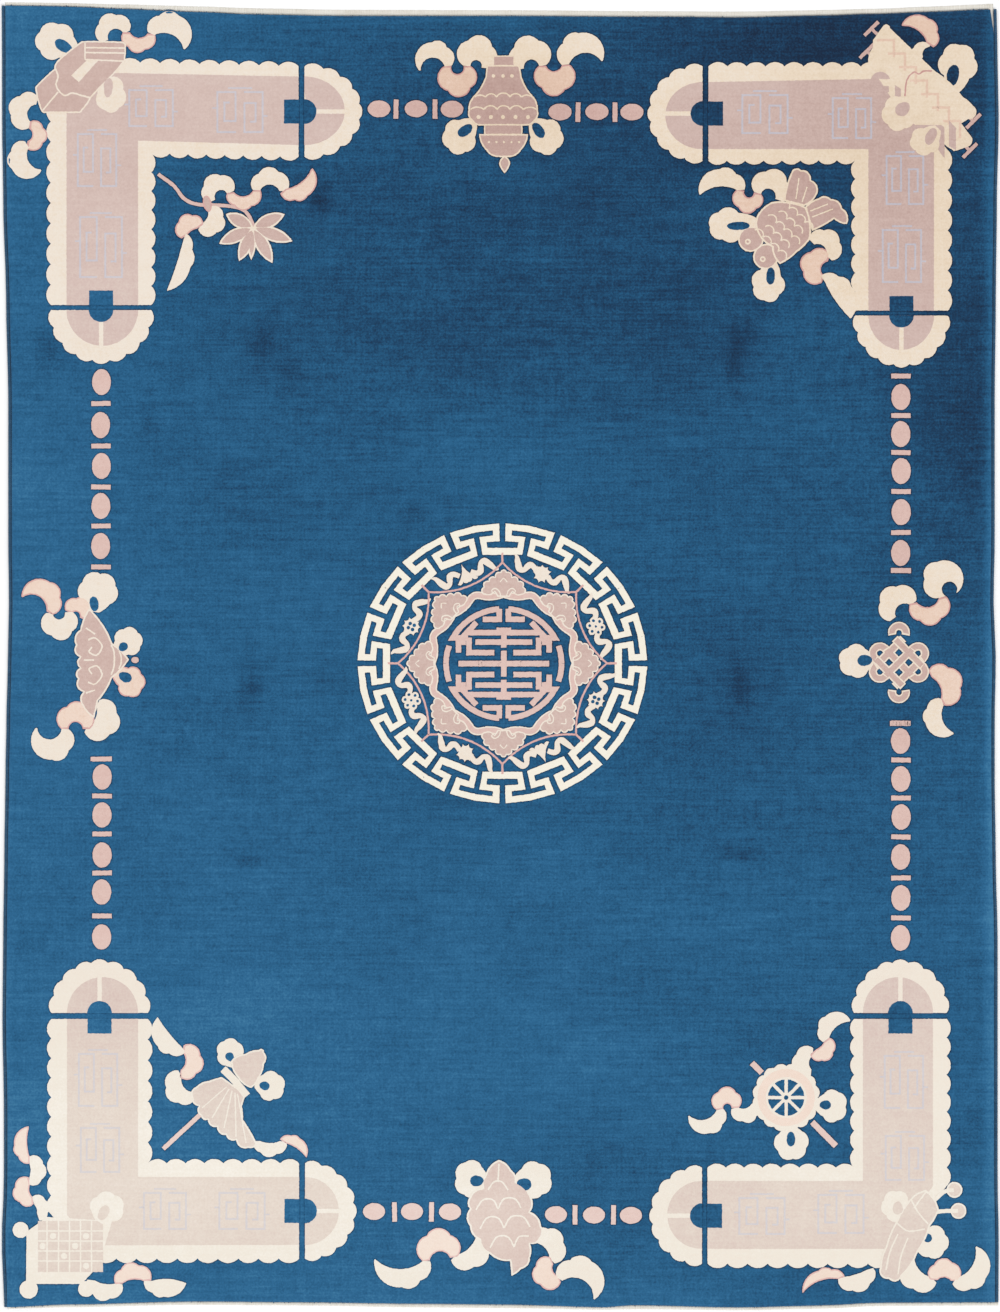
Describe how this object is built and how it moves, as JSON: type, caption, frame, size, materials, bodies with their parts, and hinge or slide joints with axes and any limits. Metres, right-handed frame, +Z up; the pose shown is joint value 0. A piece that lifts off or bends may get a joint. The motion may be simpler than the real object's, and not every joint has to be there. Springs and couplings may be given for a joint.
{
  "type": "chinese carpet",
  "caption": "Room-sized Chinese wool carpet with a blue field, a round fret medallion, scalloped corner brackets and auspicious emblems, lying flat on the floor.",
  "frame": {"origin": "on the floor, under the middle of the carpet's bounding box", "axes": "+X to the right of the design seen from above, +Y towards the top end of the design, +Z up out of the pile"},
  "size_m": [2.741, 3.598, 0.0149],
  "materials": {
    "pile_wool": "matte",
    "cord_wool": "matte"
  },
  "bodies": {
    "root": {"rug_body": "pile_wool", "left_edge_cord": "cord_wool", "right_edge_cord": "cord_wool"}
  },
  "joints": []
}
